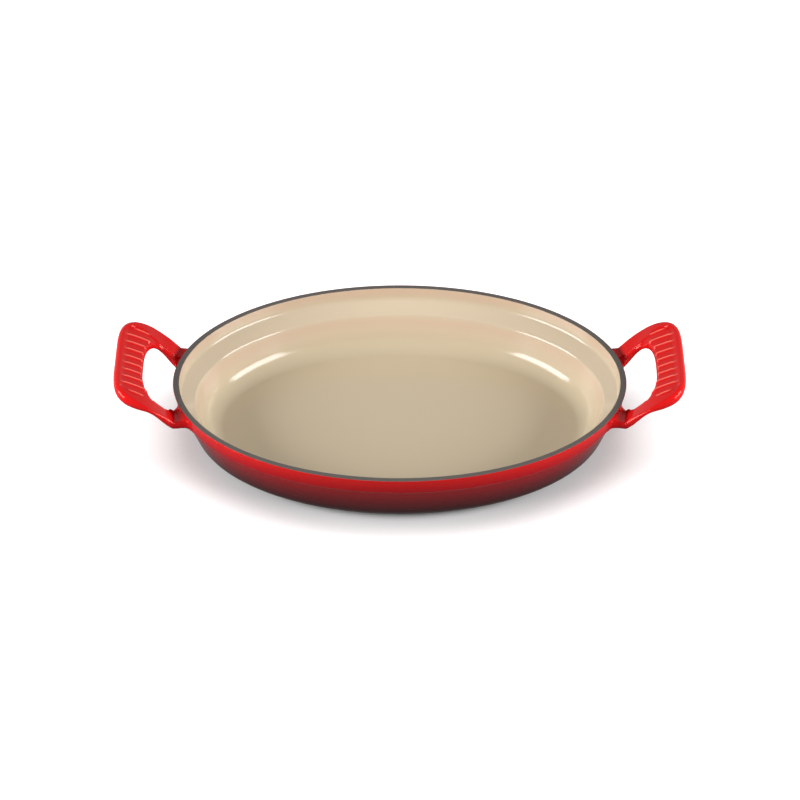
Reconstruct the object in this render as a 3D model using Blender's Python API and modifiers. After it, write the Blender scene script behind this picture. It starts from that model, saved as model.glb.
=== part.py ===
"""Oval casserole dish of enamelled cast iron, with a stepped wall and two ribbed loop handles.

Metres, +Z up. The origin lies on the surface that the dish stands on, below the middle of
the bowl, and +X runs along the long axis, through both handles.

The real dish is one iron casting under fired coats of enamel. Here the casting is split at
the handles' roots, and each coat is a solid of its own, so that every piece can be seen,
weighed and given its own finish.
"""

import math

import bmesh
import bpy
from mathutils import Matrix

# Outside of the bowl
RIM_LENGTH = 0.280
RIM_WIDTH = 0.210
DISH_HEIGHT = 0.040
COLLAR_HEIGHT = 0.0105
COLLAR_DRAFT = 0.0026
COLLAR_EDGE_RADIUS = 0.0008
STEP_INSET = 0.0018
STEP_DROP = 0.0016
STEP_RADIUS = 0.0020
BASE_INSET = 0.0154
BASE_RADIUS = 0.0120

# Foot ring, which is ground bare after firing
FOOT_MARGIN = 0.0010
FOOT_WIDTH = 0.0050
FOOT_HEIGHT = 0.0010

# Inside of the bowl
RIM_THICKNESS = 0.0039
SHELF_INSET = 0.0045
SHELF_DEPTH = 0.0078
SHELF_RADIUS = 0.0020
LIP_INSET = 0.0133
LIP_DEPTH = 0.0144
LIP_RADIUS = 0.0020
FLOOR_INSET = 0.0195
FLOOR_LEVEL = 0.0055
FLOOR_RADIUS = 0.0200

# Coats
ENAMEL = 0.0004
BAND_HEIGHT = 0.0022
BAND_CROWN = 0.0009
CLEARANCE = 0.0003

# Loop handles, measured outward from the end of the rim, and from the rim's height
HANDLE_REACH = 0.035
HANDLE_HALF_WIDTH = 0.0475
HANDLE_SQUARENESS = 4.6
HANDLE_TAPER = 0.16
ARM_SETBACK = 0.0120
GRIP_LIFT = 0.0047
GRIP_SLOPE = 0.43
GRIP_SAG = 0.0010
GRIP_FOOT_LIFT = 0.0030
GRIP_FOOT_SLOPE = 0.21
GRIP_JOIN = 0.0015
GRIP_FOOT_JOIN = 0.0045
OUTER_EDGE_ROUND = 0.0042
HOLE_EDGE_ROUND = 0.0018

# Finger hole
HOLE_REACH = 0.018
HOLE_HALF_WIDTH = 0.033
HOLE_SQUARENESS = 3.0
HOLE_SETBACK = 0.0040
FLARE_WIDTH = 0.0150
FLARE_REACH = 0.0175

# Ramps on which the arms climb from the roots to the grip
OUTER_RAMP_LIFT = -0.0003
OUTER_RAMP_SLOPE = 0.72
HOLE_RAMP_LIFT = -0.0039
HOLE_RAMP_SLOPE = 1.00
RAMP_FOLD_START = 0.0030
RAMP_FOLD = 45.0
FOOT_RAMP_LIFT = -0.0077
FOOT_RAMP_SLOPE = 1.20
FOOT_RAMP_HOLE_DROP = 0.0045

# Roots, which spring from the collar of the wall
ROOT_TOP_DEPTH = 0.0036
ROOT_TOP_HOLE_DROP = 0.0022
ROOT_FOOT_DEPTH = 0.0088
ROOT_JOIN = 0.0010
ROOT_FOOT_JOIN = 0.0040
ROOT_LENGTH = 0.0015

# Ribbed panel, a pocket that is open towards the finger hole
PANEL_DEPTH = 0.0009
PANEL_REACH = 0.0300
PANEL_HALF_WIDTH = 0.0405
PANEL_MOUTH = 0.0110
PANEL_MOUTH_HALF_WIDTH = 0.031
PANEL_CORNER = 0.0080
PANEL_CUT_HEIGHT = 0.0050
PANEL_STRIPS = 6
RIB_COUNT = 10
RIB_PITCH = 0.00729
RIB_WIDTH = 0.0030
RIB_HEIGHT = 0.0007
RIB_START = 0.0187
RIB_END_MARGIN = 0.0006

# Fineness of the meshes
OVAL_STEPS = 60
HANDLE_STATIONS = 21
OUTLINE_SAMPLES = 240
SMOOTH_ANGLE = math.radians(35.0)

COAT = ENAMEL + CLEARANCE
HALF_LENGTH = RIM_LENGTH / 2
HALF_WIDTH = RIM_WIDTH / 2
BAND_SEAT = DISH_HEIGHT - BAND_HEIGHT
WALL_TOP = BAND_SEAT - CLEARANCE


def clear_scene():
    for obj in list(bpy.data.objects):
        bpy.data.objects.remove(obj, do_unlink=True)


def new_collection(name):
    made = bpy.data.collections.new(name)
    bpy.context.scene.collection.children.link(made)
    return made


def enamel_or_iron(name, colour, roughness, metallic):
    made = bpy.data.materials.new(name)
    made.use_nodes = True
    shader = made.node_tree.nodes["Principled BSDF"]
    shader.inputs["Base Color"].default_value = (*colour, 1.0)
    shader.inputs["Roughness"].default_value = roughness
    shader.inputs["Metallic"].default_value = metallic
    made.diffuse_color = (*colour, 1.0)
    return made


def add_object(name, bm, collection, material=None):
    """Turns a bmesh into an object, with its faces turned outward and shaded smooth."""
    bmesh.ops.recalc_face_normals(bm, faces=bm.faces)
    mesh = bpy.data.meshes.new(name)
    bm.to_mesh(mesh)
    bm.free()
    mesh.shade_smooth()
    mesh.set_sharp_from_angle(angle=SMOOTH_ANGLE)
    if material:
        mesh.materials.append(material)
    obj = bpy.data.objects.new(name, mesh)
    collection.objects.link(obj)
    return obj


def add_cutter(name, bm, collection):
    obj = add_object(name, bm, collection)
    obj.hide_render = True
    obj.display_type = "WIRE"
    return obj


def add_boolean(obj, other, operation):
    modifier = obj.modifiers.new(f"{operation.lower()}_{other.name}", "BOOLEAN")
    modifier.object = other
    modifier.operation = operation
    modifier.solver = "EXACT"


def smoothstep(value):
    share = min(1.0, max(0.0, value))
    return share * share * (3.0 - 2.0 * share)


def mix(first, second, share):
    return first + (second - first) * share


def tangent_length(before, corner, after, radius):
    """How far from the corner an arc of this radius touches both of its sides."""
    to_before = math.atan2(before[1] - corner[1], before[0] - corner[0])
    to_after = math.atan2(after[1] - corner[1], after[0] - corner[0])
    opening = abs(math.remainder(to_before - to_after, math.tau))
    return radius / math.tan(opening / 2)


def towards(start, goal, distance):
    share = distance / math.dist(start, goal)
    return (mix(start[0], goal[0], share), mix(start[1], goal[1], share))


def rounded_corner(before, corner, after, radius, steps):
    """Points along the arc that rounds this corner, ends included."""
    reach = tangent_length(before, corner, after, radius)
    reach = min(reach, 0.95 * math.dist(before, corner), 0.95 * math.dist(corner, after))
    start = towards(corner, before, reach)
    end = towards(corner, after, reach)
    middle = ((start[0] + end[0]) / 2, (start[1] + end[1]) / 2)
    opening = math.dist(corner, start) / math.dist(corner, middle)
    centre = towards(corner, middle, opening * reach)
    first = math.atan2(start[1] - centre[1], start[0] - centre[0])
    turn = math.remainder(math.atan2(end[1] - centre[1], end[0] - centre[0]) - first, math.tau)
    size = math.dist(centre, start)
    angles = [first + turn * step / steps for step in range(steps + 1)]
    return [(centre[0] + size * math.cos(a), centre[1] + size * math.sin(a)) for a in angles]


def rounded_path(corners):
    """An open path through (point, radius, steps) corners, with its ends left as they are."""
    path = [corners[0][0]]
    for index in range(1, len(corners) - 1):
        point, radius, steps = corners[index]
        before, after = corners[index - 1][0], corners[index + 1][0]
        path += rounded_corner(before, point, after, radius, steps)
    return path + [corners[-1][0]]


def offset_path(path, distance, closed=False):
    """The path moved sideways to its left by a distance, with mitred corners."""
    count = len(path)
    moved = []
    for index, point in enumerate(path):
        last, following = index - 1, (index + 1) % count
        if not closed:
            last, following = max(last, 0), min(index + 1, count - 1)
        directions = []
        for start, end in ((path[last], point), (point, path[following])):
            length = math.dist(start, end)
            if length > 0:
                directions.append(((end[0] - start[0]) / length, (end[1] - start[1]) / length))
        first, second = directions[0], directions[-1]
        across = (-(first[1] + second[1]), first[0] + second[0])
        size = across[0] ** 2 + across[1] ** 2
        moved.append(
            (point[0] + 2 * distance * across[0] / size, point[1] + 2 * distance * across[1] / size)
        )
    return moved


def collar_inset(height):
    """How far the collar's draft has drawn the finished wall in at this height."""
    return COLLAR_DRAFT * (DISH_HEIGHT - height) / COLLAR_HEIGHT


def outside_corners():
    """The foot of the collar, the foot of the step and the corner of the base."""
    collar_foot = DISH_HEIGHT - COLLAR_HEIGHT
    return [
        (COLLAR_DRAFT, collar_foot),
        (COLLAR_DRAFT + STEP_INSET, collar_foot - STEP_DROP),
        (BASE_INSET, FOOT_HEIGHT),
    ]


def foot_inset():
    """The foot ring starts where the base has turned flat, and a margin further in."""
    _, step_foot, base = outside_corners()
    flat = (HALF_WIDTH, FOOT_HEIGHT)
    return BASE_INSET + tangent_length(step_foot, base, flat, BASE_RADIUS) + FOOT_MARGIN


def outside_profile():
    """The finished outside as (inset, height), from below the rim band to the foot ring."""
    step_top, step_foot, base = outside_corners()
    return rounded_path(
        [
            ((collar_inset(WALL_TOP), WALL_TOP), 0.0, 0),
            (step_top, COLLAR_EDGE_RADIUS, 2),
            (step_foot, STEP_RADIUS, 2),
            (base, BASE_RADIUS, 4),
            ((foot_inset() - CLEARANCE, FOOT_HEIGHT), 0.0, 0),
        ]
    )


def inside_profile():
    """The finished inside as (inset, height), from below the rim band to the flat floor."""
    lip = (LIP_INSET, DISH_HEIGHT - LIP_DEPTH)
    floor_corner = (FLOOR_INSET, FLOOR_LEVEL)
    turn = tangent_length(lip, floor_corner, (HALF_WIDTH, FLOOR_LEVEL), FLOOR_RADIUS)
    return rounded_path(
        [
            ((RIM_THICKNESS, WALL_TOP), 0.0, 0),
            ((SHELF_INSET, DISH_HEIGHT - SHELF_DEPTH), SHELF_RADIUS, 3),
            (lip, LIP_RADIUS, 2),
            (floor_corner, FLOOR_RADIUS, 4),
            ((FLOOR_INSET + 1.1 * turn, FLOOR_LEVEL), 0.0, 0),
        ]
    )


def oval_ring(bm, inset, height):
    """One ring of vertices that lies this far inside the rim's outer edge."""
    ring = []
    for step in range(OVAL_STEPS):
        angle = math.tau * step / OVAL_STEPS
        x = (HALF_LENGTH - inset) * math.cos(angle)
        y = (HALF_WIDTH - inset) * math.sin(angle)
        ring.append(bm.verts.new((x, y, height)))
    return ring


def join_rings(bm, first, second):
    for index in range(len(first)):
        after = (index + 1) % len(first)
        bm.faces.new((first[index], first[after], second[after], second[index]))


def oval_surface(profile, closed=False, cap_start=False, cap_end=False):
    """Sweeps a profile of (inset, height) round the oval."""
    bm = bmesh.new()
    rings = [oval_ring(bm, inset, height) for inset, height in profile]
    for first, second in zip(rings, rings[1:]):
        join_rings(bm, first, second)
    if closed:
        join_rings(bm, rings[-1], rings[0])
    if cap_start:
        bm.faces.new(rings[0])
    if cap_end:
        bm.faces.new(rings[-1])
    return bm


def below_face(finished, distance):
    """A finished face's profile moved to its left into the wall, still ending below the band."""
    moved = offset_path(finished, distance)
    moved[0] = (moved[0][0], WALL_TOP)
    return moved


def make_iron_body(collection, material):
    """The casting: wall, floor and foot ring, one coat thinner than the finished dish."""
    outside = below_face(outside_profile(), COAT)
    inside = below_face(inside_profile(), -COAT)
    underside = outside[-1][1]
    foot = foot_inset()
    foot_ring = [
        (foot, underside),
        (foot, 0.0),
        (foot + FOOT_WIDTH, 0.0),
        (foot + FOOT_WIDTH, underside),
    ]
    profile = inside[::-1] + outside[:-1] + foot_ring
    bm = oval_surface(profile, cap_start=True, cap_end=True)
    return add_object("iron_body", bm, collection, material)


def make_exterior_enamel(collection, material):
    finished = outside_profile()
    bm = oval_surface(finished[::-1] + below_face(finished, ENAMEL), closed=True)
    return add_object("exterior_enamel", bm, collection, material)


def make_interior_enamel(collection, material):
    finished = inside_profile()
    profile = finished[::-1] + below_face(finished, -ENAMEL)
    bm = oval_surface(profile, cap_start=True, cap_end=True)
    return add_object("interior_enamel", bm, collection, material)


def make_base_enamel(collection, material):
    """The coat on the underside, within the foot ring."""
    inset = foot_inset() + FOOT_WIDTH + CLEARANCE
    edge = [(inset, FOOT_HEIGHT), (inset, FOOT_HEIGHT + ENAMEL)]
    bm = oval_surface(edge, cap_start=True, cap_end=True)
    return add_object("base_enamel", bm, collection, material)


def make_rim_band(collection, material):
    """The dark band that crowns the wall and covers the edges of both coats."""
    outer_foot = (0.0, BAND_SEAT)
    outer_top = (0.0, DISH_HEIGHT)
    inner_top = (RIM_THICKNESS, DISH_HEIGHT)
    inner_foot = (RIM_THICKNESS, BAND_SEAT)
    profile = rounded_path(
        [
            (outer_foot, 0.0, 0),
            (outer_top, BAND_CROWN, 2),
            (inner_top, BAND_CROWN, 2),
            (inner_foot, 0.0, 0),
        ]
    )
    bm = oval_surface(profile, closed=True)
    return add_object("rim_band", bm, collection, material)


def seat_x(y, height):
    """Where the end of a root lies, a clearance outside the iron of the collar."""
    inset = collar_inset(height) + ENAMEL
    share = y / (HALF_WIDTH - inset)
    return (HALF_LENGTH - inset) * math.sqrt(1.0 - share * share)


def soft_lower(first, second, join):
    """The lower of two heights, eased where they come within this much of each other."""
    closeness = max(0.0, join - abs(first - second)) / join
    return min(first, second) - closeness**2 * join / 4


def soft_higher(first, second, join):
    return -soft_lower(-first, -second, join)


def grip_top(outward, y):
    """The grip's sloping top, which sags a little between its two ends."""
    sag = GRIP_SAG * smoothstep(abs(y) / PANEL_HALF_WIDTH)
    return DISH_HEIGHT + GRIP_LIFT + GRIP_SLOPE * outward + sag


def handle_top(x, y, share):
    """The loop's top. The share runs from 0 at the hole's side to 1 at the outer side."""
    outward = x - HALF_LENGTH
    ramp = DISH_HEIGHT + mix(HOLE_RAMP_LIFT, OUTER_RAMP_LIFT, share)
    ramp += mix(HOLE_RAMP_SLOPE, OUTER_RAMP_SLOPE, share) * outward
    ramp -= RAMP_FOLD * max(0.0, RAMP_FOLD_START - outward) ** 2
    root = DISH_HEIGHT - ROOT_TOP_DEPTH - ROOT_TOP_HOLE_DROP * (1.0 - share)
    return soft_higher(root, soft_lower(grip_top(outward, y), ramp, GRIP_JOIN), ROOT_JOIN)


def handle_foot(x, share):
    outward = x - HALF_LENGTH
    grip = DISH_HEIGHT + GRIP_FOOT_LIFT + GRIP_FOOT_SLOPE * outward
    ramp = DISH_HEIGHT + FOOT_RAMP_LIFT + FOOT_RAMP_SLOPE * outward
    ramp -= FOOT_RAMP_HOLE_DROP * (1.0 - share)
    root = DISH_HEIGHT - ROOT_FOOT_DEPTH
    return soft_higher(root, soft_lower(grip, ramp, GRIP_FOOT_JOIN), ROOT_FOOT_JOIN)


def squared_oval(setback, reach, half_width, squareness):
    """A quarter of a squared oval in plan, from its side round to the outer end."""
    length = reach + setback
    points = []
    for step in range(OUTLINE_SAMPLES + 1):
        angle = math.pi / 2 * (1.0 - step / OUTLINE_SAMPLES)
        along = max(0.0, math.cos(angle)) ** (2.0 / squareness)
        across = max(0.0, math.sin(angle)) ** (2.0 / squareness)
        points.append((HALF_LENGTH - setback + length * along, half_width * across))
    return points


def outer_outline():
    """The loop's outer edge, drawn in towards the wall."""
    length = HANDLE_REACH + ARM_SETBACK
    end = HALF_LENGTH + HANDLE_REACH
    plain = squared_oval(ARM_SETBACK, HANDLE_REACH, HANDLE_HALF_WIDTH, HANDLE_SQUARENESS)
    return [(x, y * (1.0 - HANDLE_TAPER * (end - x) / length)) for x, y in plain]


def hole_outline():
    """The finger hole's edge, which flares along the wall at the root."""
    start = HALF_LENGTH - HOLE_SETBACK
    plain = squared_oval(HOLE_SETBACK, HOLE_REACH, HOLE_HALF_WIDTH, HOLE_SQUARENESS)
    edge = []
    for x, y in plain:
        nearness = max(0.0, 1.0 - (x - start) / FLARE_REACH)
        edge.append((x, y - FLARE_WIDTH * nearness**2))
    return edge


def evenly_spaced(points, count):
    """The same path with this many points, at equal distances along it."""
    travelled = [0.0]
    for first, second in zip(points, points[1:]):
        travelled.append(travelled[-1] + math.dist(first, second))
    spaced = []
    index = 0
    for step in range(count):
        goal = travelled[-1] * step / (count - 1)
        while index < len(points) - 2 and travelled[index + 1] < goal:
            index += 1
        share = (goal - travelled[index]) / (travelled[index + 1] - travelled[index])
        first, second = points[index], points[index + 1]
        spaced.append((mix(first[0], second[0], share), mix(first[1], second[1], share)))
    return spaced


ARC_ANGLES = [math.radians(angle) for angle in (-90, -45, 0, 45, 90)]
RUN_SHARES = (1 / 3, 2 / 3)


def handle_section(hole_edge, outer_edge):
    """One section of the loop: up round the hole's side, over, down round the outside, under."""
    width = math.dist(hole_edge, outer_edge)
    rounds = []
    for edge, share, limit in ((hole_edge, 0.0, HOLE_EDGE_ROUND), (outer_edge, 1.0, OUTER_EDGE_ROUND)):
        height = handle_top(*edge, share) - handle_foot(edge[0], share)
        rounds.append(min(height / 2, limit, 0.45 * width))

    def point(distance, level):
        x, y = towards(hole_edge, outer_edge, distance)
        share = distance / width
        return (x, y, mix(handle_foot(x, share), handle_top(x, y, share), level))

    start, end = rounds[0], width - rounds[1]
    section = [
        point(rounds[0] * (1 - math.cos(angle)), (1 + math.sin(angle)) / 2) for angle in ARC_ANGLES
    ]
    section += [point(mix(start, end, share), 1.0) for share in RUN_SHARES]
    section += [
        point(width - rounds[1] * (1 - math.cos(angle)), (1 + math.sin(angle)) / 2)
        for angle in reversed(ARC_ANGLES)
    ]
    section += [point(mix(end, start, share), 0.0) for share in RUN_SHARES]
    return section


def cap_section(bm, ring):
    """Closes a section with strips that run from its foot to its top."""
    arc = len(ARC_ANGLES)
    run = len(RUN_SHARES)
    bm.faces.new(ring[:arc])
    bm.faces.new(ring[arc + run : 2 * arc + run])
    over = ring[arc - 1 : arc + run + 1]
    under = [ring[0]] + ring[: 2 * arc + run - 1 : -1] + [ring[2 * arc + run - 1]]
    for index in range(run + 1):
        bm.faces.new((over[index], over[index + 1], under[index + 1], under[index]))


def root_section():
    """The (y, z) outline with which a root stands on the wall."""
    section = handle_section(hole_outline()[0], outer_outline()[0])
    return [(y, z) for _, y, z in section]


def loft_sections(sections):
    bm = bmesh.new()
    rings = [[bm.verts.new(point) for point in section] for section in sections]
    for first, second in zip(rings, rings[1:]):
        join_rings(bm, first, second)
    return bm, rings


def handle_half():
    """Half of a loop, from the root to the plane between the halves, where it is open."""
    root = root_section()
    seat = [(seat_x(y, z), y, z) for y, z in root]
    neck = [(x + ROOT_LENGTH, y, z) for x, y, z in seat]
    hole_edge = evenly_spaced(hole_outline(), HANDLE_STATIONS)
    outer_edge = evenly_spaced(outer_outline(), HANDLE_STATIONS)
    sections = [handle_section(*edges) for edges in zip(hole_edge[1:], outer_edge[1:])]
    bm, rings = loft_sections([seat, neck] + sections)
    cap_section(bm, rings[0])
    return bm


def panel_corner(steps):
    """The rounded outer corner of the pocket's outline."""
    wide = (PANEL_REACH, PANEL_HALF_WIDTH)
    mouth = (PANEL_MOUTH, PANEL_MOUTH_HALF_WIDTH)
    return rounded_corner((PANEL_REACH, 0.0), wide, mouth, PANEL_CORNER, steps)


def panel_cutter():
    """The pocket in the grip's top, cut into strips that follow the grip's sag."""
    outline = panel_corner(4) + [(PANEL_MOUTH, PANEL_MOUTH_HALF_WIDTH)]
    outline += [(x, -y) for x, y in reversed(outline)]
    bm = bmesh.new()
    levels = []
    for lift in (-PANEL_DEPTH, PANEL_CUT_HEIGHT):
        levels.append([bm.verts.new((HALF_LENGTH + x, y, lift)) for x, y in outline])
    join_rings(bm, levels[0], levels[1])
    bm.faces.new(levels[0])
    bm.faces.new(levels[1])
    for step in range(1, PANEL_STRIPS):
        cut = PANEL_HALF_WIDTH * (2 * step / PANEL_STRIPS - 1)
        whole = bm.verts[:] + bm.edges[:] + bm.faces[:]
        bmesh.ops.bisect_plane(bm, geom=whole, plane_co=(0.0, cut, 0.0), plane_no=(0.0, 1.0, 0.0))
    for vert in bm.verts:
        vert.co.z += grip_top(vert.co.x - HALF_LENGTH, vert.co.y)
    return bm


def panel_edge(y):
    """How far outward the pocket reaches at this distance from the middle."""
    corner = panel_corner(12)
    if abs(y) <= corner[0][1]:
        return PANEL_REACH
    outside = [x for x, edge_y in corner if edge_y >= abs(y)]
    return max(outside, default=RIB_START)


def rib_pattern():
    """Low ribs across the pocket's floor, each a long ellipsoid sunk to its middle."""
    bm = bmesh.new()
    tilt = math.atan(GRIP_SLOPE)
    turn = Matrix.Rotation(-tilt, 4, "Y")
    for index in range(RIB_COUNT):
        y = (index - (RIB_COUNT - 1) / 2) * RIB_PITCH
        end = panel_edge(y) - RIB_END_MARGIN
        length = (end - RIB_START) / math.cos(tilt)
        if length < RIB_WIDTH:
            continue
        outward = (RIB_START + end) / 2
        place = (HALF_LENGTH + outward, y, grip_top(outward, y) - PANEL_DEPTH)
        size = Matrix.Diagonal((length / 2, RIB_WIDTH / 2, RIB_HEIGHT, 1.0))
        bmesh.ops.create_uvsphere(
            bm,
            u_segments=10,
            v_segments=6,
            radius=1.0,
            matrix=Matrix.Translation(place) @ turn @ size,
        )
    return bm


def window_cutter():
    """The two openings in the coat that the roots pass through, a clearance larger all round."""
    root = root_section()
    grown = offset_path(root, CLEARANCE, closed=True)
    middle = (sum(y for y, _ in root) / len(root), sum(z for _, z in root) / len(root))
    if math.dist(grown[0], middle) < math.dist(root[0], middle):
        grown = offset_path(root, -CLEARANCE, closed=True)
    ends = (-COAT, ROOT_LENGTH)
    bm, rings = loft_sections([[(seat_x(y, z) + end, y, z) for y, z in grown] for end in ends])
    cap_section(bm, rings[0])
    cap_section(bm, rings[-1])
    return bm


def mirror_halves(obj):
    modifier = obj.modifiers.new("other_half", "MIRROR")
    modifier.use_axis = (False, True, False)
    modifier.use_clip = True
    modifier.merge_threshold = 0.00001


def make_handle(name, end, collection, cutters, material):
    """A ribbed loop handle, carried by an empty that turns it to its end of the dish."""
    loop = add_object(name, handle_half(), collection, material)
    mirror_halves(loop)
    pocket = add_cutter(f"{name}_pocket_cutter", panel_cutter(), cutters)
    ribs = add_cutter(f"{name}_rib_pattern", rib_pattern(), cutters)
    add_boolean(loop, pocket, "DIFFERENCE")
    add_boolean(loop, ribs, "UNION")
    for obj in (loop, pocket, ribs):
        obj.parent = end
    return loop


def make_window(name, end, cutters):
    window = add_cutter(name, window_cutter(), cutters)
    mirror_halves(window)
    window.parent = end
    return window


def new_end(name, turn, collection):
    end = bpy.data.objects.new(name, None)
    end.rotation_euler = (0.0, 0.0, turn)
    end.empty_display_size = HANDLE_REACH
    collection.objects.link(end)
    return end


def main():
    clear_scene()
    dish = new_collection("oval_casserole_dish")
    cutters = new_collection("cutters")

    iron = enamel_or_iron("cast_iron", (0.055, 0.053, 0.052), 0.55, 0.8)
    red = enamel_or_iron("red_enamel", (0.62, 0.012, 0.014), 0.12, 0.0)
    cream = enamel_or_iron("cream_enamel", (0.60, 0.47, 0.33), 0.15, 0.0)
    dark = enamel_or_iron("dark_rim_enamel", (0.085, 0.078, 0.070), 0.45, 0.0)

    make_iron_body(dish, iron)
    exterior = make_exterior_enamel(dish, red)
    make_base_enamel(dish, red)
    make_interior_enamel(dish, cream)
    make_rim_band(dish, dark)
    for side, turn in (("right", 0.0), ("left", math.pi)):
        end = new_end(f"{side}_end", turn, dish)
        make_handle(f"{side}_handle", end, dish, cutters, red)
        window = make_window(f"{side}_root_window", end, cutters)
        add_boolean(exterior, window, "DIFFERENCE")


main()
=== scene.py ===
"""Looks of the oval casserole dish: red and cream enamel on cast iron, with two ribbed loops.

Metres, +Z up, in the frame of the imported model. The bowl's pieces are profiles swept round the
oval. Each loop handle is written as a distance field, so that its edges, ribs and roots melt
into each other as they do under fired enamel, and the field is then meshed.
"""

import math

import bpy
import numpy as np
import openvdb
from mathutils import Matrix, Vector


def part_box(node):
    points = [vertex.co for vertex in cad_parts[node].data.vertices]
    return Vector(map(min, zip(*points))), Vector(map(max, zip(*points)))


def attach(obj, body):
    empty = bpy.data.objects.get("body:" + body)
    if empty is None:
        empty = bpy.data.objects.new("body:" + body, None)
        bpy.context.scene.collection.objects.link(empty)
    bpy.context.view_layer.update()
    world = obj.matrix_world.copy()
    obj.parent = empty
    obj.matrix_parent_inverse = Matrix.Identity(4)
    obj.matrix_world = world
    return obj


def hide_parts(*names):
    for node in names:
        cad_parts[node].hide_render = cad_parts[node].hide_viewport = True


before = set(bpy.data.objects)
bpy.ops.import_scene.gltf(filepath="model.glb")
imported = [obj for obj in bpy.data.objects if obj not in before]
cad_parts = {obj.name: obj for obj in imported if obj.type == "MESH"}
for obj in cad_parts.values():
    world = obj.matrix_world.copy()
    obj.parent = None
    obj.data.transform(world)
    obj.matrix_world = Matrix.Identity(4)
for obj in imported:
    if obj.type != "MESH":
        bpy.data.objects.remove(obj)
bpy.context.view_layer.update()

# Driving dimensions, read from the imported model
BAND_LOW, BAND_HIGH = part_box("rim_band")
COAT_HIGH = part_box("exterior_enamel")[1]
LINING_LOW, LINING_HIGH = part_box("interior_enamel")
BASE_LOW, BASE_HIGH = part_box("base_enamel")
LOOP_LOW, LOOP_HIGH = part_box("right_handle")

HALF_LENGTH = BAND_HIGH.x
HALF_WIDTH = BAND_HIGH.y
DISH_HEIGHT = BAND_HIGH.z
BAND_SEAT = BAND_LOW.z
WALL_TOP = COAT_HIGH.z
ENAMEL = BASE_HIGH.z - BASE_LOW.z
CLEARANCE = BAND_SEAT - WALL_TOP
FOOT_HEIGHT = BASE_LOW.z
FLOOR_LEVEL = LINING_LOW.z + ENAMEL
RIM_THICKNESS = HALF_LENGTH - LINING_HIGH.x + ENAMEL
HANDLE_REACH = LOOP_HIGH.x - HALF_LENGTH
COAT = ENAMEL + CLEARANCE

# Outside of the bowl
COLLAR_HEIGHT = 0.0105
COLLAR_DRAFT = 0.0026
COLLAR_EDGE_RADIUS = 0.0008
STEP_INSET = 0.0018
STEP_DROP = 0.0016
STEP_RADIUS = 0.0020
BASE_INSET = 0.0154
BASE_RADIUS = 0.0120
FOOT_MARGIN = 0.0010
FOOT_WIDTH = 0.0050
FOOT_RADIUS = 0.0004

# Inside of the bowl
SHELF_INSET = 0.0045
SHELF_DEPTH = 0.0078
SHELF_RADIUS = 0.0040
LIP_INSET = 0.0133
LIP_DEPTH = 0.0144
LIP_RADIUS = 0.0035
FLOOR_INSET = 0.0215
FLOOR_RADIUS = 0.0130
FLOOR_START = 1.1

# Rim band
BAND_CROWN = 0.0012
BAND_FOOT = 0.0012
BAND_RADIUS = 0.0008

# Loop handles, measured outward from the end of the rim
HANDLE_HALF_WIDTH = 0.0475
HANDLE_SQUARENESS = 4.6
HANDLE_TAPER = 0.16
ARM_SETBACK = 0.0120
GRIP_LIFT = 0.0045
GRIP_SLOPE = 0.43
GRIP_SAG = 0.0010
GRIP_FOOT_LIFT = 0.0030
GRIP_FOOT_SLOPE = 0.21
GRIP_JOIN = 0.0015
GRIP_FOOT_JOIN = 0.0045
OUTER_EDGE_ROUND = 0.0042
HOLE_EDGE_ROUND = 0.0018
HOLE_REACH = 0.018
HOLE_HALF_WIDTH = 0.033
HOLE_SQUARENESS = 3.0
HOLE_SETBACK = 0.0040
FLARE_WIDTH = 0.0150
FLARE_REACH = 0.0175
OUTER_RAMP_LIFT = -0.0003
OUTER_RAMP_SLOPE = 0.72
HOLE_RAMP_LIFT = -0.0039
HOLE_RAMP_SLOPE = 1.00
RAMP_FOLD_START = 0.0030
RAMP_FOLD = 45.0
FOOT_RAMP_LIFT = -0.0077
FOOT_RAMP_SLOPE = 1.20
FOOT_RAMP_HOLE_DROP = 0.0045
ROOT_TOP = DISH_HEIGHT - 0.0036
ROOT_TOP_HOLE_DROP = 0.0022
ROOT_WALL_RISE = 0.0008
ROOT_WALL_REACH = 0.0030
ROOT_FOOT = DISH_HEIGHT - 0.0088
ROOT_JOIN = 0.0010
ROOT_FOOT_JOIN = 0.0040

# Ribbed pocket in the grip's top
PANEL_DEPTH = 0.0011
PANEL_REACH = 0.0300
PANEL_HALF_WIDTH = 0.0405
PANEL_MOUTH = 0.0110
PANEL_MOUTH_HALF_WIDTH = 0.031
PANEL_CORNER = 0.0080
PANEL_END_WIDTH = 0.0014
PANEL_SIDE_WIDTH = 0.0040
RIB_COUNT = 10
RIB_PITCH = 0.00729
RIB_WIDTH = 0.0032
RIB_HEIGHT = 0.0011
RIB_END_MARGIN = -0.0010
RIB_FADE = 0.0050
BORDER_CHANGE_START = 0.026
BORDER_CHANGE = 0.008

# Painted highlights: pale lines along the ribs' crests, a paler red put into the colour in place of
# mirrored light, measured from the middle of the dish. The two end ribs have shorter ones.
CREST_WIDTH = 0.0010
CREST_CORE = 0.3
CREST_INNER = 0.1505
CREST_OUTER = 0.1705
CREST_FADE = 0.0010
CREST_OUTER_FADE = 0.0030
CREST_SHORT = 0.0310
CREST_CUT = 0.0050
CREST_FACING = (0.5, 0.8)

# How the loop melts into the wall
ROOT_BLEND = 0.0080
ROOT_HOLE_BLEND = 0.0020
ROOT_TOP_BLEND = 0.0012
ROOT_BLEND_CHANGE = 0.0060
ROOT_SINK = 0.000005
ROOT_DEPTH = 0.0003
BAND_GAP = 0.00015

# Coats at the rim, which leave only its top bare
COAT_TOP = DISH_HEIGHT - 0.00015
COAT_EDGE = 0.00018
COAT_CURL = 0.8
BAND_CURL = 0.5

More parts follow.
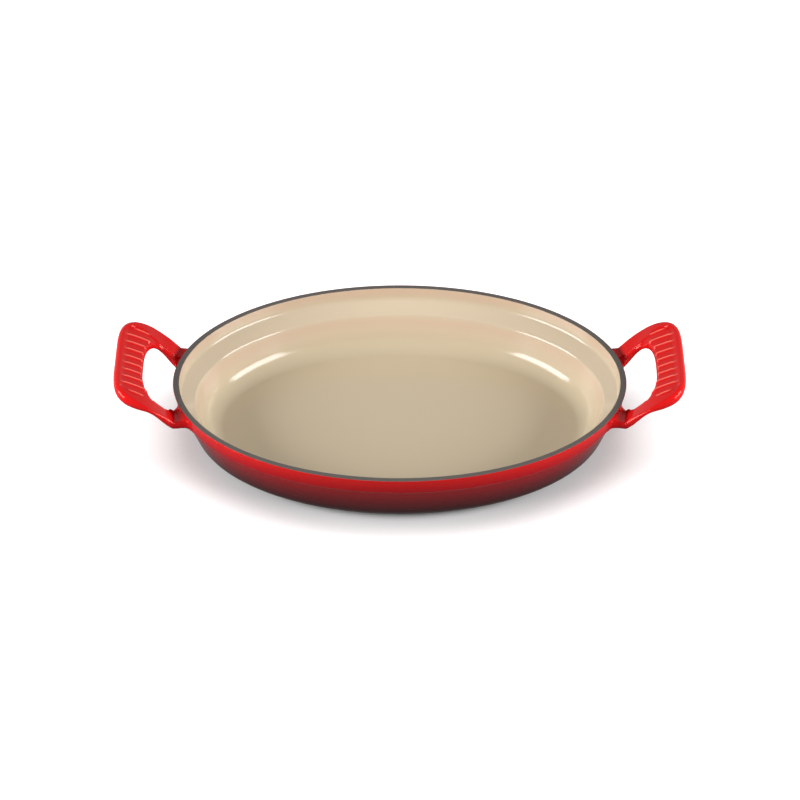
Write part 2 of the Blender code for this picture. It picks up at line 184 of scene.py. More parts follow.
# Fineness
OVAL_STEPS = 360
ARC_STEPS = 14
VOXEL = 0.00035
OUTLINE_SAMPLES = 160
POINTS_AT_ONCE = 20000
SLOPE_STEP = 0.0001
NUDGE = 0.00005
INSET_ROUNDS = 6
SETTLING_ROUNDS = 3
LEAST_STEEPNESS = 0.25
LONGEST_CORNER = 0.95
SHARP_ANGLE = math.radians(50.0)
OUTLINE_TAIL = 0.0200
LEAST_ARM_WIDTH = 0.0010
LOOP_HEADROOM = 0.0030


def mix(first, second, share):
    return first + (second - first) * share


def smoothstep(value):
    share = np.clip(value, 0.0, 1.0)
    return share * share * (3.0 - 2.0 * share)


# Profiles, as (inset, height)


def tangent_length(before, corner, after, radius):
    """How far from the corner an arc of this radius touches both of its sides."""
    to_before = math.atan2(before[1] - corner[1], before[0] - corner[0])
    to_after = math.atan2(after[1] - corner[1], after[0] - corner[0])
    opening = abs(math.remainder(to_before - to_after, math.tau))
    return radius / math.tan(opening / 2)


def towards(start, goal, distance):
    share = distance / math.dist(start, goal)
    return (mix(start[0], goal[0], share), mix(start[1], goal[1], share))


def rounded_corner(before, corner, after, radius, steps=ARC_STEPS):
    """Points along the arc that rounds this corner, ends included."""
    reach = tangent_length(before, corner, after, radius)
    nearest = min(math.dist(before, corner), math.dist(corner, after))
    reach = min(reach, LONGEST_CORNER * nearest)
    start = towards(corner, before, reach)
    end = towards(corner, after, reach)
    middle = ((start[0] + end[0]) / 2, (start[1] + end[1]) / 2)
    opening = math.dist(corner, start) / math.dist(corner, middle)
    centre = towards(corner, middle, opening * reach)
    first = math.atan2(start[1] - centre[1], start[0] - centre[0])
    turn = math.remainder(math.atan2(end[1] - centre[1], end[0] - centre[0]) - first, math.tau)
    size = math.dist(centre, start)
    angles = [first + turn * step / steps for step in range(steps + 1)]
    return [(centre[0] + size * math.cos(a), centre[1] + size * math.sin(a)) for a in angles]


def rounded_path(corners):
    """An open path through (point, radius) corners, with its ends left as they are."""
    path = [corners[0][0]]
    for index in range(1, len(corners) - 1):
        point, radius = corners[index]
        path += rounded_corner(corners[index - 1][0], point, corners[index + 1][0], radius)
    return path + [corners[-1][0]]


def offset_path(path, distance):
    """The path moved sideways to its left by a distance, with mitred corners."""
    moved = []
    for index, point in enumerate(path):
        before = path[max(index - 1, 0)]
        after = path[min(index + 1, len(path) - 1)]
        directions = []
        for start, end in ((before, point), (point, after)):
            length = math.dist(start, end)
            if length > 0:
                directions.append(((end[0] - start[0]) / length, (end[1] - start[1]) / length))
        first, second = directions[0], directions[-1]
        across = (-(first[1] + second[1]), first[0] + second[0])
        size = across[0] ** 2 + across[1] ** 2
        moved.append(
            (point[0] + 2 * distance * across[0] / size, point[1] + 2 * distance * across[1] / size)
        )
    return moved


def below_face(finished, distance):
    """A finished face's profile moved to its left into the wall, and cut off below the band."""
    moved = offset_path(finished, distance)
    top, after = moved[:2]
    share = (WALL_TOP - after[1]) / (top[1] - after[1])
    moved[0] = (mix(after[0], top[0], share), WALL_TOP)
    return moved


def coat_section(finished, inward):
    """The coat on a finished face, with an edge that curls over the rim's corner."""
    edge = (finished[0][0] + inward * COAT_EDGE, COAT_TOP)
    curl = rounded_corner(finished[1], finished[0], edge, COAT_CURL * COAT_EDGE)
    return finished[:0:-1] + curl + [edge] + below_face(finished, inward * ENAMEL)


def outside_corners():
    """The foot of the collar, the foot of the step and the corner of the base."""
    collar_foot = DISH_HEIGHT - COLLAR_HEIGHT
    return [
        (COLLAR_DRAFT, collar_foot),
        (COLLAR_DRAFT + STEP_INSET, collar_foot - STEP_DROP),
        (BASE_INSET, FOOT_HEIGHT),
    ]


def foot_inset():
    """The foot ring starts where the base has turned flat, and a margin further in."""
    _, step_foot, base = outside_corners()
    flat = (HALF_WIDTH, FOOT_HEIGHT)
    return BASE_INSET + tangent_length(step_foot, base, flat, BASE_RADIUS) + FOOT_MARGIN


def outside_profile():
    """The finished outside, from just below the rim's top to the foot ring."""
    step_top, step_foot, base = outside_corners()
    return rounded_path(
        [
            ((0.0, COAT_TOP), 0.0),
            (step_top, COLLAR_EDGE_RADIUS),
            (step_foot, STEP_RADIUS),
            (base, BASE_RADIUS),
            ((foot_inset() - CLEARANCE, FOOT_HEIGHT), 0.0),
        ]
    )


def inside_profile():
    """The finished inside, from just below the rim's top to the flat floor."""
    lip = (LIP_INSET, DISH_HEIGHT - LIP_DEPTH)
    floor_corner = (FLOOR_INSET, FLOOR_LEVEL)
    turn = tangent_length(lip, floor_corner, (HALF_WIDTH, FLOOR_LEVEL), FLOOR_RADIUS)
    return rounded_path(
        [
            ((RIM_THICKNESS, COAT_TOP), 0.0),
            ((SHELF_INSET, DISH_HEIGHT - SHELF_DEPTH), SHELF_RADIUS),
            (lip, LIP_RADIUS),
            (floor_corner, FLOOR_RADIUS),
            ((FLOOR_INSET + FLOOR_START * turn, FLOOR_LEVEL), 0.0),
        ]
    )


# Pieces swept round the oval


def new_piece(name, points, faces, material):
    mesh = bpy.data.meshes.new(name)
    mesh.from_pydata([tuple(point) for point in points], [], [tuple(face) for face in faces])
    mesh.validate()
    mesh.shade_smooth()
    mesh.materials.append(material)
    piece = bpy.data.objects.new(name, mesh)
    bpy.context.scene.collection.objects.link(piece)
    return piece


def strips_across(ring):
    """Closes a ring of the oval with strips that run across it."""
    count = len(ring)
    middle = [
        (ring[step], ring[step + 1], ring[count - step - 1], ring[count - step])
        for step in range(1, count // 2 - 1)
    ]
    ends = [
        (ring[0], ring[1], ring[count - 1]),
        (ring[count // 2 - 1], ring[count // 2], ring[count // 2 + 1]),
    ]
    return middle + ends


def sweep_oval(name, profile, material, caps=False):
    """Sweeps a closed loop of (inset, height) points round the oval, with its faces outward."""
    angles = [math.tau * step / OVAL_STEPS for step in range(OVAL_STEPS)]
    points = [
        ((HALF_LENGTH - inset) * math.cos(angle), (HALF_WIDTH - inset) * math.sin(angle), height)
        for inset, height in profile
        for angle in angles
    ]
    faces = []
    rows = len(profile) - 1 if caps else len(profile)
    for row in range(rows):
        after = (row + 1) % len(profile)
        for step in range(OVAL_STEPS):
            beside = (step + 1) % OVAL_STEPS
            faces.append(
                (
                    row * OVAL_STEPS + step,
                    row * OVAL_STEPS + beside,
                    after * OVAL_STEPS + beside,
                    after * OVAL_STEPS + step,
                )
            )
    if caps:
        faces += [face[::-1] for face in strips_across(range(OVAL_STEPS))]
        last = (len(profile) - 1) * OVAL_STEPS
        faces += strips_across(range(last, last + OVAL_STEPS))
    piece = new_piece(name, points, faces, material)
    piece.data.flip_normals()
    piece.data.set_sharp_from_angle(angle=SHARP_ANGLE)
    return piece


# Distance field of a loop handle and the wall beside it


def oval_inset(x, y):
    """How far inside the rim's outer edge a point lies, by the sweep's own measure."""
    inset = HALF_LENGTH - np.abs(x)
    for _ in range(INSET_ROUNDS):
        across = x / (HALF_LENGTH - inset)
        along = y / (HALF_WIDTH - inset)
        value = across**2 + along**2 - 1.0
        slope = 2 * (across**2 / (HALF_LENGTH - inset) + along**2 / (HALF_WIDTH - inset))
        inset = inset - value / slope
    return inset


def squared_oval(setback, reach, half_width, squareness):
    """A quarter of a squared oval in plan, from its side round to the outer end."""
    angles = np.linspace(math.pi / 2, 0.0, OUTLINE_SAMPLES)
    along = np.clip(np.cos(angles), 0.0, 1.0) ** (2.0 / squareness)
    across = np.clip(np.sin(angles), 0.0, 1.0) ** (2.0 / squareness)
    return HALF_LENGTH - setback + (reach + setback) * along, half_width * across


def outer_outline():
    """The loop's outer edge, drawn in towards the wall."""
    length = HANDLE_REACH + ARM_SETBACK
    x, y = squared_oval(ARM_SETBACK, HANDLE_REACH, HANDLE_HALF_WIDTH, HANDLE_SQUARENESS)
    return x, y * (1.0 - HANDLE_TAPER * (HALF_LENGTH + HANDLE_REACH - x) / length)


def hole_outline():
    """The finger hole's edge, which flares along the wall at the root."""
    x, y = squared_oval(HOLE_SETBACK, HOLE_REACH, HOLE_HALF_WIDTH, HOLE_SQUARENESS)
    nearness = np.maximum(0.0, 1.0 - (x - x[0]) / FLARE_REACH)
    return x, y - FLARE_WIDTH * nearness**2


def panel_outline():
    """The pocket's edge, from the middle of its outer side round the corner to the mouth."""
    wide = (PANEL_REACH, PANEL_HALF_WIDTH)
    mouth = (PANEL_MOUTH, PANEL_MOUTH_HALF_WIDTH)
    corner = rounded_corner((PANEL_REACH, 0.0), wide, mouth, PANEL_CORNER)
    points = np.array([(PANEL_REACH, 0.0)] + corner + [mouth])
    return HALF_LENGTH + points[:, 0], points[:, 1]


def distance_to(x, y, outline):
    """The distance in plan from each point to an open outline of short straight runs."""
    start = np.stack(outline, axis=1)[:-1]
    run = np.diff(np.stack(outline, axis=1), axis=0)
    squared = (run**2).sum(axis=1)
    found = np.empty(x.size)
    for low in range(0, x.size, POINTS_AT_ONCE):
        part = slice(low, low + POINTS_AT_ONCE)
        from_x = x[part, None] - start[:, 0]
        from_y = y[part, None] - start[:, 1]
        share = np.clip((from_x * run[:, 0] + from_y * run[:, 1]) / squared, 0.0, 1.0)
        gap = (from_x - share * run[:, 0]) ** 2 + (from_y - share * run[:, 1]) ** 2
        found[part] = np.sqrt(gap.min(axis=1))
    return found


def signed_distance(x, y, outline):
    """Negative inside an outline that is closed by its mirror image and the inner end."""
    order = np.argsort(outline[0])
    half_width = np.interp(x, outline[0][order], outline[1][order])
    inside = (np.abs(y) < half_width) & (x < outline[0].max())
    distance = distance_to(x, np.abs(y), outline)
    return np.where(inside, -distance, distance)


def extended_inward(outline, length=OUTLINE_TAIL):
    """The outline with a straight stretch added at its inner end, inside the wall."""
    x, y = outline
    return np.concatenate([[x[0] - length], x]), np.concatenate([[y[0]], y])


def soft_lower(first, second, join):
    """The lower of two heights, eased where they come within this much of each other."""
    closeness = np.maximum(join - np.abs(first - second), 0.0) / join
    return np.minimum(first, second) - closeness**2 * join / 4


def soft_higher(first, second, join):
    return -soft_lower(-first, -second, join)


def grip_top(outward, y):
    """The grip's top, which sags a little between its two ends."""
    sag = GRIP_SAG * smoothstep(np.abs(y) / PANEL_HALF_WIDTH)
    return DISH_HEIGHT + GRIP_LIFT + GRIP_SLOPE * outward + sag


def loop_heights(outward, y, share, from_wall):
    """The loop's top and foot. Share runs from an arm's side at the hole to its outer side."""
    ramp = DISH_HEIGHT + mix(HOLE_RAMP_LIFT, OUTER_RAMP_LIFT, share)
    ramp += mix(HOLE_RAMP_SLOPE, OUTER_RAMP_SLOPE, share) * outward
    ramp -= RAMP_FOLD * np.maximum(RAMP_FOLD_START - outward, 0.0) ** 2
    root = ROOT_TOP - ROOT_TOP_HOLE_DROP * (1.0 - share)
    root += ROOT_WALL_RISE * (1.0 - smoothstep(from_wall / ROOT_WALL_REACH))
    top = soft_higher(root, soft_lower(grip_top(outward, y), ramp, GRIP_JOIN), ROOT_JOIN)
    grip_foot = DISH_HEIGHT + GRIP_FOOT_LIFT + GRIP_FOOT_SLOPE * outward
    foot_ramp = DISH_HEIGHT + FOOT_RAMP_LIFT + FOOT_RAMP_SLOPE * outward
    foot_ramp -= FOOT_RAMP_HOLE_DROP * (1.0 - share)
    foot = soft_higher(
        ROOT_FOOT, soft_lower(grip_foot, foot_ramp, GRIP_FOOT_JOIN), ROOT_FOOT_JOIN
    )
    return top, foot


def rib_relief(outward, y):
    """The height of the ribs over the pocket's floor."""
    edge_x, edge_y = panel_outline()
    relief = np.zeros_like(outward)
    for index in range(RIB_COUNT):
        middle = (index - (RIB_COUNT - 1) / 2) * RIB_PITCH
        past = edge_x[edge_y >= abs(middle)]
        end = past.max() - HALF_LENGTH - RIB_END_MARGIN
        along = smoothstep((end - outward) / RIB_FADE)
        across = np.clip(np.abs(y - middle) / (RIB_WIDTH / 2), 0.0, 1.0)
        relief += RIB_HEIGHT * along * np.cos(across * math.pi / 2) ** 2
    return relief


def arm_share(x, y):
    """How far across an arm a point lies, from 0 at the hole's side to 1 at the outer side."""
    widths = []
    for outline in (hole_outline(), outer_outline()):
        order = np.argsort(outline[0])
        widths.append(np.interp(x, outline[0][order], outline[1][order]))
    arm_width = np.maximum(widths[1] - widths[0], LEAST_ARM_WIDTH)
    return np.clip((np.abs(y) - widths[0]) / arm_width, 0.0, 1.0)


def plan_fields(x, y):
    """What the loop's field needs at each point of the plan, whatever the height."""
    outer = signed_distance(x, y, extended_inward(outer_outline()))
    hole = signed_distance(x, y, extended_inward(hole_outline()))
    inset = oval_inset(x, y)
    share = arm_share(x, y)
    outward = x - HALF_LENGTH
    top, foot = loop_heights(outward, y, share, -inset)
    ahead = loop_heights(outward + SLOPE_STEP, y, share, -inset)
    top_lean = 1.0 / np.hypot(1.0, (ahead[0] - top) / SLOPE_STEP)
    foot_lean = 1.0 / np.hypot(1.0, (ahead[1] - foot) / SLOPE_STEP)
    towards_end = smoothstep((np.abs(y) - BORDER_CHANGE_START) / BORDER_CHANGE)
    border = mix(PANEL_SIDE_WIDTH, PANEL_END_WIDTH, towards_end)
    pocket = smoothstep(0.5 - signed_distance(x, y, panel_outline()) / border)
    relief = pocket * (rib_relief(outward, y) - PANEL_DEPTH)
    round_limit = np.where(-outer < hole, OUTER_EDGE_ROUND, HOLE_EDGE_ROUND)
    lean = np.minimum(top_lean, foot_lean)
    radius = np.minimum(round_limit, (top - foot) / 2 * lean)
    sides = np.maximum(outer, -hole)
    return inset, sides, top, foot, top_lean, foot_lean, relief, radius, share


def rounded_meeting(first, second, radius):
    """The overlap of two fields, with the edge where they meet rounded."""
    corner = np.hypot(np.maximum(first + radius, 0.0), np.maximum(second + radius, 0.0))
    return np.minimum(np.maximum(first, second), -radius) + corner


def melted_union(first, second, reach):
    """The union of two fields, with a soft fillet that reaches this far along each."""
    closeness = np.maximum(reach - np.abs(first - second), 0.0) / reach
    return np.minimum(first, second) - closeness**3 * reach / 6


def loop_field(plan, z):
    """Negative inside the right-hand loop, its fillets and a thin plate under the wall."""
    inset, sides, top, foot, top_lean, foot_lean, relief, radius, share = plan
    slab = np.maximum((z - top - relief) * top_lean, (foot - z) * foot_lean)
    loop = rounded_meeting(sides, slab, radius)
    wall_inset, wall_height = zip(*outside_profile()[:-1])
    wall = np.interp(-z, [-height for height in wall_height], wall_inset) - inset
    side_reach = mix(ROOT_HOLE_BLEND, ROOT_BLEND, share)
    reach = mix(ROOT_TOP_BLEND, side_reach, smoothstep((BAND_SEAT - z) / ROOT_BLEND_CHANGE))
    fused = melted_union(wall + ROOT_SINK, loop, reach)
    fused = np.maximum(fused, -wall - ROOT_DEPTH)
    fused = np.maximum(fused, loop - ROOT_BLEND)
    band = np.maximum(-BAND_GAP - inset, WALL_TOP - z)
    return np.maximum(fused, -band)


def meshed_loop():
    """Points, faces and normals of the right-hand loop, settled onto the field's zero surface."""
    margin = 3 * VOXEL
    low = np.array([LOOP_LOW.x, LOOP_LOW.y, ROOT_FOOT]) - ROOT_BLEND - margin
    high = np.array([LOOP_HIGH.x, LOOP_HIGH.y, LOOP_HIGH.z + LOOP_HEADROOM]) + margin
    high[1] += ROOT_BLEND
    axes = [np.arange(start, end, VOXEL) for start, end in zip(low, high)]
    x, y = np.meshgrid(axes[0], axes[1], indexing="ij")
    plan = [field.reshape(x.shape)[:, :, None] for field in plan_fields(x.ravel(), y.ravel())]
    field = loop_field(plan, axes[2][None, None, :])
    grid = openvdb.FloatGrid(1.0)
    grid.copyFromArray((field / VOXEL).astype(np.float32))
    points, faces = grid.convertToQuads(0.0)
    points = low + points.astype(float) * VOXEL
    for _ in range(SETTLING_ROUNDS):
        here, gradient = field_and_gradient(points)
        size = np.maximum((gradient**2).sum(axis=1, keepdims=True), LEAST_STEEPNESS)
        points -= np.clip(here[:, None] * gradient / size, -VOXEL / 2, VOXEL / 2)
    normals = field_and_gradient(points)[1]
    return points, faces, normals / np.linalg.norm(normals, axis=1, keepdims=True)


def field_and_gradient(points):
    """The field at each point, and how fast it grows along each axis."""
    plan = plan_fields(points[:, 0], points[:, 1])
    here = loop_field(plan, points[:, 2])
    beside_x = plan_fields(points[:, 0] + NUDGE, points[:, 1])
    beside_y = plan_fields(points[:, 0], points[:, 1] + NUDGE)
    moved = (
        loop_field(beside_x, points[:, 2]),
        loop_field(beside_y, points[:, 2]),
        loop_field(plan, points[:, 2] + NUDGE),
    )
    return here, np.stack([(value - here) / NUDGE for value in moved], axis=1)


# Materials

RED_MIRRORED = (1.0, 0.40, 0.34, 1.0)
CREST_HIGHLIGHT_COLOUR = (1.0, 0.200, 0.150, 1.0)
ENAMEL_WAVE = 0.00004
RIM_GRAIN = 0.00006
IRON_GRAIN = 0.00010
TONE_SHIFT = 0.0015

# The factor and the two colours of a Mix node that is set to mix colours, and its result
COLOUR_MIX_INPUTS = (0, 6, 7)
COLOUR_MIX_OUTPUT = 2


def new_material(name, roughness, metallic=0.0):
    material = bpy.data.materials.new(name)
    material.use_nodes = True
    shader = material.node_tree.nodes["Principled BSDF"]
    shader.inputs["Roughness"].default_value = roughness
    shader.inputs["Metallic"].default_value = metallic
    return material, material.node_tree, shader


def add_node(tree, kind, **values):
    node = tree.nodes.new(kind)
    for name, value in values.items():
        node.inputs[name.replace("_", " ")].default_value = value
    return node


def place_noise(tree, scale, detail=3.0, roughness=0.5):
    """Noise through the piece's own space, with a scale in waves per metre."""
    where = tree.nodes.new("ShaderNodeTexCoord")
    noise = add_node(tree, "ShaderNodeTexNoise", Scale=scale, Detail=detail, Roughness=roughness)
    tree.links.new(where.outputs["Object"], noise.inputs["Vector"])
    return noise


def ramp(tree, source, stops):
    node = tree.nodes.new("ShaderNodeValToRGB")
    elements = node.color_ramp.elements
    while len(elements) < len(stops):
        elements.new(0.5)
    for element, (position, colour) in zip(elements, stops):
        element.position = position
        element.color = (*colour, 1.0)
    tree.links.new(source, node.inputs["Fac"])
    return node


def mapped(tree, source, low, high, to_low=0.0, to_high=1.0):
    node = add_node(
        tree, "ShaderNodeMapRange", From_Min=low, From_Max=high, To_Min=to_low, To_Max=to_high
    )
    tree.links.new(source, node.inputs["Value"])
    return node.outputs["Result"]


def combined(tree, operation, *sources):
    node = tree.nodes.new("ShaderNodeMath")
    node.operation = operation
    for socket, source in zip(node.inputs, sources):
        tree.links.new(source, socket)
    return node.outputs["Value"]


def add_bump(tree, shader, source, depth):
    bump = add_node(tree, "ShaderNodeBump", Strength=1.0, Distance=depth)
    tree.links.new(source, bump.inputs["Height"])
    tree.links.new(bump.outputs["Normal"], shader.inputs["Normal"])


def split_axes(tree, source):
    split = tree.nodes.new("ShaderNodeSeparateXYZ")
    tree.links.new(source, split.inputs["Vector"])
    return split.outputs


def object_place(tree):
    """X, Y and Z in the piece's own space."""
    where = tree.nodes.new("ShaderNodeTexCoord")
    return split_axes(tree, where.outputs["Object"])


def rib_crest_highlights(tree):
    """One along the crests of the ribs, where a paler red is painted as a highlight in place of
    mirrored light, else zero.
    """
    place = object_place(tree)
    geometry = tree.nodes.new("ShaderNodeNewGeometry")
    facing = split_axes(tree, geometry.outputs["Normal"])
    half_pitch = RIB_PITCH / 2
    waves = tree.nodes.new("ShaderNodeMath")
    waves.operation = "PINGPONG"
    waves.inputs[1].default_value = half_pitch
    tree.links.new(place["Y"], waves.inputs[0])
    outward = combined(tree, "ABSOLUTE", place["X"])
    sideways = combined(tree, "ABSOLUTE", place["Y"])
    cut = mapped(tree, sideways, CREST_SHORT - CREST_FADE, CREST_SHORT, 0.0, CREST_CUT)
    inner = combined(tree, "SUBTRACT", outward, cut)
    outer = combined(tree, "ADD", outward, cut)
    last_row = RIB_COUNT * half_pitch
    limits = [
        (waves.outputs["Value"], half_pitch - CREST_WIDTH, half_pitch - CREST_CORE * CREST_WIDTH),
        (inner, CREST_INNER, CREST_INNER + CREST_FADE),
        (outer, CREST_OUTER, CREST_OUTER - CREST_OUTER_FADE),
        (sideways, last_row, last_row - CREST_FADE),
        (facing["Z"], *CREST_FACING),
    ]
    parts = [mapped(tree, source, low, high) for source, low, high in limits]
    crest = parts[0]
    for part in parts[1:]:
        crest = combined(tree, "MULTIPLY", crest, part)
    return crest


def make_red_enamel():
    material, tree, shader = new_material("red_enamel", 0.10)
    shader.inputs["Specular Tint"].default_value = RED_MIRRORED
    # Darker towards the bottom: partly the enamel's own fade from near black at the foot to red at
    # the rim, partly painted shade, with the middle heights lowered to darken the front wall as its
    # lighting would.
    height = mapped(tree, object_place(tree)["Z"], 0.0, DISH_HEIGHT)
    colour = ramp(
        tree,
        height,
        [
            (0.0, (0.020, 0.0005, 0.002)),
            (0.20, (0.038, 0.0005, 0.003)),
            (0.42, (0.165, 0.0005, 0.005)),
            (0.66, (0.350, 0.001, 0.006)),
            (0.80, (0.520, 0.002, 0.007)),
            (0.95, (0.740, 0.008, 0.009)),
        ],
    )
    # Painted highlight: a paler red mixed into the colour along the rib crests, standing in for
    # mirrored light.
    pale = tree.nodes.new("ShaderNodeMix")
    pale.data_type = "RGBA"
    share, first, second = (pale.inputs[index] for index in COLOUR_MIX_INPUTS)
    second.default_value = CREST_HIGHLIGHT_COLOUR
    tree.links.new(rib_crest_highlights(tree), share)
    tree.links.new(colour.outputs["Color"], first)
    tree.links.new(pale.outputs[COLOUR_MIX_OUTPUT], shader.inputs["Base Color"])
    waves = place_noise(tree, 90.0)
    add_bump(tree, shader, waves.outputs["Fac"], ENAMEL_WAVE)
    return material


def make_cream_enamel():
    material, tree, shader = new_material("cream_enamel", 0.14)
    clouds = place_noise(tree, 18.0).outputs["Fac"]
    shift = mapped(tree, clouds, 0.3, 0.7, -TONE_SHIFT, TONE_SHIFT)
    shifted = combined(tree, "ADD", object_place(tree)["Z"], shift)
    height = mapped(tree, shifted, 0.0, DISH_HEIGHT)
    colour = ramp(
        tree,
        height,
        [
            (0.30, (0.610, 0.508, 0.352)),
            (0.45, (0.630, 0.500, 0.362)),
            (0.56, (0.635, 0.478, 0.345)),
            (0.66, (0.620, 0.512, 0.370)),
            (0.84, (0.620, 0.510, 0.368)),
            (0.93, (0.640, 0.478, 0.350)),
        ],
    )
    tree.links.new(colour.outputs["Color"], shader.inputs["Base Color"])
    waves = place_noise(tree, 70.0)
    add_bump(tree, shader, waves.outputs["Fac"], ENAMEL_WAVE)
    return material


def make_rim_enamel():
    material, tree, shader = new_material("dark_rim_enamel", 0.45)
    grain = place_noise(tree, 2600.0, detail=4.0)
    colour = ramp(
        tree,
        grain.outputs["Fac"],
        [(0.30, (0.060, 0.055, 0.050)), (0.70, (0.150, 0.135, 0.120))],
    )
    tree.links.new(colour.outputs["Color"], shader.inputs["Base Color"])
    add_bump(tree, shader, grain.outputs["Fac"], RIM_GRAIN)
    return material


def make_cast_iron():
    material, tree, shader = new_material("cast_iron", 0.55, metallic=0.7)
    grain = place_noise(tree, 1500.0, detail=5.0)
    colour = ramp(
        tree,
        grain.outputs["Fac"],
        [(0.30, (0.060, 0.058, 0.056)), (0.75, (0.170, 0.165, 0.160))],
    )
    tree.links.new(colour.outputs["Color"], shader.inputs["Base Color"])
    add_bump(tree, shader, grain.outputs["Fac"], IRON_GRAIN)
    return material


# The pieces


def dress(piece, slot, *nodes):
    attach(piece, "root")
    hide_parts(*nodes)


def make_casting(material):
    outside = below_face(outside_profile(), COAT)
    inside = below_face(inside_profile(), -COAT)
    underside = outside[-1][1]
    foot = foot_inset()
    ring = rounded_path(
        [
            ((foot, underside), 0.0),
            ((foot, 0.0), FOOT_RADIUS),
            ((foot + FOOT_WIDTH, 0.0), FOOT_RADIUS),
            ((foot + FOOT_WIDTH, underside), 0.0),
        ]
    )
    profile = inside[::-1] + outside[:-1] + ring
    dress(sweep_oval("casting", profile, material, True), "bare_cast_iron", "iron_body")


def make_outside(material):
    profile = coat_section(outside_profile(), 1.0)
    dress(sweep_oval("outside_glaze", profile, material), "red_enamel", "exterior_enamel")


def make_base(material):
    inset = foot_inset() + FOOT_WIDTH + CLEARANCE
    profile = [(inset, FOOT_HEIGHT + ENAMEL), (inset, FOOT_HEIGHT)]
    dress(sweep_oval("base_glaze", profile, material, True), "red_enamel", "base_enamel")


def make_lining(material):
    profile = coat_section(inside_profile(), -1.0)
    piece = sweep_oval("cream_lining", profile, material, True)
    dress(piece, "cream_enamel", "interior_enamel")


def make_rim(material):
    """The bare top of the rim between the edges of the coats, and its foot behind them."""
    profile = rounded_path(
        [
            ((BAND_FOOT, BAND_SEAT), 0.0),
            ((COAT_EDGE, COAT_TOP), BAND_CURL * COAT_EDGE),
            ((BAND_CROWN, DISH_HEIGHT), BAND_RADIUS),
            ((RIM_THICKNESS - BAND_CROWN, DISH_HEIGHT), BAND_RADIUS),
            ((RIM_THICKNESS - COAT_EDGE, COAT_TOP), BAND_CURL * COAT_EDGE),
            ((RIM_THICKNESS - BAND_FOOT, BAND_SEAT), 0.0),
        ]
    )
    dress(sweep_oval("rim_edge", profile, material), "dark_rim_enamel", "rim_band")


def make_loops(material):
    points, faces, normals = meshed_loop()
    for side, turn in (("right", 1.0), ("left", -1.0)):
        half_turn = np.array([turn, turn, 1.0])
        piece = new_piece(f"{side}_loop", points * half_turn, faces, material)
        piece.data.normals_split_custom_set_from_vertices(normals * half_turn)
        dress(piece, "red_enamelled_iron", f"{side}_handle")


# Camera, light and floor

CAMERA_ELEVATION = math.radians(35.3)
CAMERA_DISTANCE = 2.24
RIM_LENGTH_PIXELS = 453.4
FRAME_PIXELS = 800
RIM_CENTRE_PIXEL = (399.6, 379.5)
SENSOR = 36.0
FLOOR_HALF_WIDTH = 4.0
FLOOR_LIFT = 0.85
FLOOR_OPENING = (0.45, 0.98)
FLOOR_MIRRORED = (0.4, 1.0)
SHADE_REACH = 0.05
FLOOR_COLOUR = (0.80, 0.80, 0.80)
FLOOR_COLOUR_UNSEEN = (0.30, 0.30, 0.30)
STUDIO_BRIGHT_SIDE = (0.0, -0.5, 0.866)
STUDIO_STRENGTHS = (0.03, 0.33)
BACKDROP_SIDE = (0.0, 0.94, 0.34)
BACKDROP_STRENGTHS = (0.0, 0.45)
STUDIO_FALLOFF = (-0.3, 1.0)
BOX_PLACE = (1.252, -0.368, 0.555)
BOX_AIM = (0.0, 0.0, 0.04)
BOX_SIZE = (1.05, 0.60)
BOXES = (("left_box", -1.0, 23.5), ("right_box", 1.0, 21.5))


def add_camera():
    focal_pixels = RIM_LENGTH_PIXELS / (2 * HALF_LENGTH) * CAMERA_DISTANCE
    data = bpy.data.cameras.new("photo_camera")
    data.sensor_width = SENSOR
    data.lens = focal_pixels / FRAME_PIXELS * SENSOR
    data.clip_start = 0.05
    data.clip_end = 20.0
    camera = bpy.data.objects.new("photo_camera", data)
    camera.location = (
        0.0,
        -CAMERA_DISTANCE * math.cos(CAMERA_ELEVATION),
        DISH_HEIGHT + CAMERA_DISTANCE * math.sin(CAMERA_ELEVATION),
    )
    tip = math.atan((FRAME_PIXELS / 2 - RIM_CENTRE_PIXEL[1]) / focal_pixels)
    turn = math.atan((RIM_CENTRE_PIXEL[0] - FRAME_PIXELS / 2) / focal_pixels)
    camera.rotation_euler = (math.pi / 2 - CAMERA_ELEVATION - tip, 0.0, turn)
    bpy.context.scene.collection.objects.link(camera)
    bpy.context.scene.camera = camera


def add_softbox(name, side, watts):
    """A softbox low beside the dish, on the left for a side of -1 and on the right for 1."""
    data = bpy.data.lights.new(name, "AREA")
    data.shape = "RECTANGLE"
    data.size, data.size_y = BOX_SIZE
    data.energy = watts
    place = Vector((side * BOX_PLACE[0], *BOX_PLACE[1:]))
    light = bpy.data.objects.new(name, data)
    light.location = place
    light.rotation_euler = (place - Vector(BOX_AIM)).to_track_quat("Z", "Y").to_euler()
    bpy.context.scene.collection.objects.link(light)


def seen_rays(tree):
    """One for rays from the camera, and one for rays that mirror or show through."""
    path = tree.nodes.new("ShaderNodeLightPath")
    mirrored = combined(
        tree, "MAXIMUM", path.outputs["Is Glossy Ray"], path.outputs["Is Transmission Ray"]
    )
    return path.outputs["Is Camera Ray"], mirrored


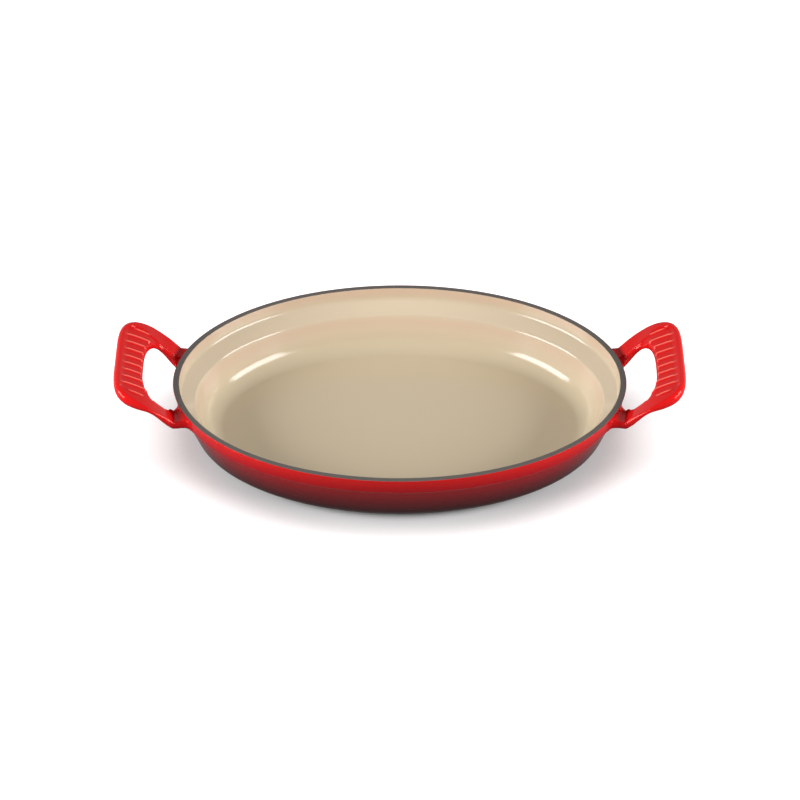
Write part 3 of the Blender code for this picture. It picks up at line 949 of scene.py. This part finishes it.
def add_floor():
    """A floor that is white where nothing shades it, both to the camera and, away from the
    dish, in reflections. Its own light on the dish stays low."""
    material, tree, shader = new_material("pale_floor", 0.9)
    shader.inputs["Specular IOR Level"].default_value = 0.0
    shader.inputs["Emission Color"].default_value = (1.0, 1.0, 1.0, 1.0)
    where = tree.nodes.new("ShaderNodeTexCoord")
    away = tree.nodes.new("ShaderNodeVectorMath")
    away.operation = "LENGTH"
    tree.links.new(where.outputs["Object"], away.inputs[0])
    far = mapped(tree, away.outputs["Value"], *FLOOR_MIRRORED)
    camera, mirrored = seen_rays(tree)
    seen = combined(tree, "MAXIMUM", camera, combined(tree, "MULTIPLY", mirrored, far))
    colour = ramp(tree, seen, [(0.0, FLOOR_COLOUR_UNSEEN), (1.0, FLOOR_COLOUR)])
    tree.links.new(colour.outputs["Color"], shader.inputs["Base Color"])
    # The floor's glow fades where ambient occlusion finds the dish close by: painted contact shade,
    # added to the shadow the lamps cast.
    opening = tree.nodes.new("ShaderNodeAmbientOcclusion")
    opening.inputs["Distance"].default_value = SHADE_REACH
    lift = mapped(tree, opening.outputs["AO"], *FLOOR_OPENING, 0.0, FLOOR_LIFT)
    tree.links.new(combined(tree, "MULTIPLY", seen, lift), shader.inputs["Emission Strength"])
    half = FLOOR_HALF_WIDTH
    corners = [(-half, -half, 0.0), (half, -half, 0.0), (half, half, 0.0), (-half, half, 0.0)]
    floor = new_piece("floor", corners, [(0, 1, 2, 3)], material)


def brightness_towards(tree, where, side, strengths):
    """A strength that grows towards one side of the studio."""
    along = tree.nodes.new("ShaderNodeVectorMath")
    along.operation = "DOT_PRODUCT"
    along.inputs[1].default_value = side
    tree.links.new(where, along.inputs[0])
    return mapped(tree, along.outputs["Value"], *STUDIO_FALLOFF, *strengths)


def add_world():
    """A studio that is brightest above the camera, with a pale backdrop seen in reflections."""
    world = bpy.data.worlds.new("studio")
    world.use_nodes = True
    tree = world.node_tree
    background = tree.nodes["Background"]
    background.inputs["Color"].default_value = (1.0, 1.0, 1.0, 1.0)
    where = tree.nodes.new("ShaderNodeTexCoord").outputs["Generated"]
    studio = brightness_towards(tree, where, STUDIO_BRIGHT_SIDE, STUDIO_STRENGTHS)
    backdrop = brightness_towards(tree, where, BACKDROP_SIDE, BACKDROP_STRENGTHS)
    seen = combined(tree, "MAXIMUM", *seen_rays(tree))
    shown = combined(tree, "MULTIPLY", seen, backdrop)
    strength = combined(tree, "MAXIMUM", studio, shown)
    tree.links.new(strength, background.inputs["Strength"])
    bpy.context.scene.world = world


def main():
    red = make_red_enamel()
    cream = make_cream_enamel()
    rim = make_rim_enamel()
    iron = make_cast_iron()
    make_casting(iron)
    make_outside(red)
    make_base(red)
    make_lining(cream)
    make_rim(rim)
    make_loops(red)
    add_camera()
    for name, side, watts in BOXES:
        add_softbox(name, side, watts)
    add_floor()
    add_world()
    bpy.context.scene.view_settings.view_transform = "Standard"


main()
